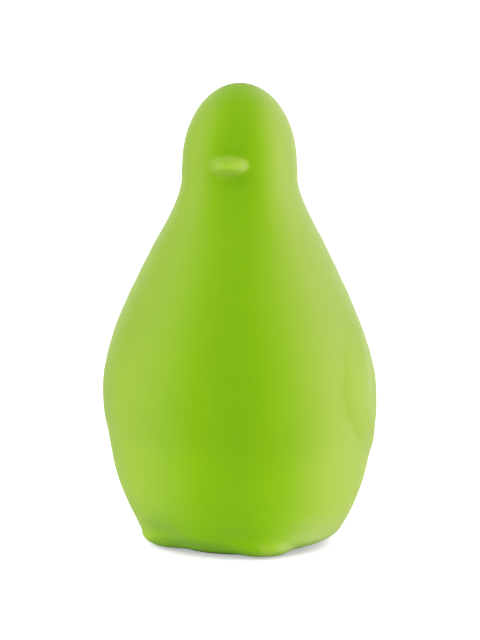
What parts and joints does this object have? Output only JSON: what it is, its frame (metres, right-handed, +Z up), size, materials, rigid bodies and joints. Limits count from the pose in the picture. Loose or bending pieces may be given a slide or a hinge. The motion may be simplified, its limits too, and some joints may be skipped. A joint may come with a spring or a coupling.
{
  "type": "penguin desk figure",
  "caption": "Upright pear-shaped penguin desk figure: hollow matte moulding on a grip ring, with a weighted base that screws in from below.",
  "frame": {"origin": "centre of the figure's footprint box on the desk plane, under the grip ring", "axes": "+Z up, -Y the way the figure's feet and belly face, +X to the figure's left"},
  "size_m": [0.1102, 0.104, 0.1789],
  "materials": {
    "body_shell": "lime green soft-satin moulding, one colour throughout",
    "inner_plastic": "darker green moulded plastic, satin",
    "grip_rubber": "matching green silicone rubber, matte",
    "seal_rubber": "grey silicone, matte",
    "ballast_steel": "turned steel washer",
    "foam": "grey closed-cell foam",
    "fastener": "zinc-plated steel"
  },
  "bodies": {
    "figure": {"body_shell": "body_shell", "threaded_collar": "inner_plastic", "collar_keeper": "inner_plastic", "grip_ring": "grip_rubber"},
    "seal": {"base_seal": "seal_rubber"},
    "base": {"screw_base": "inner_plastic", "ballast_disc_1": "ballast_steel", "ballast_disc_2": "ballast_steel", "ballast_disc_3": "ballast_steel", "foam_damper": "foam", "cup_lid": "inner_plastic", "lid_washer": "fastener", "lid_screw": "fastener"}
  },
  "joints": [
    {"name": "base_travel", "type": "slide", "parent": "figure", "child": "seal", "axis": [0, 0, -1], "range_m": [0, 0.007]},
    {"name": "base_turn", "type": "hinge", "parent": "seal", "child": "base", "pos_m": [0, 0.0002, 0], "axis": [0, 0, -1], "range_deg": [0, 630.2]}
  ],
  "couplings": [
    {"joint": "base_turn", "follows": "base_travel", "rad_per_m": 1570.8}
  ]
}
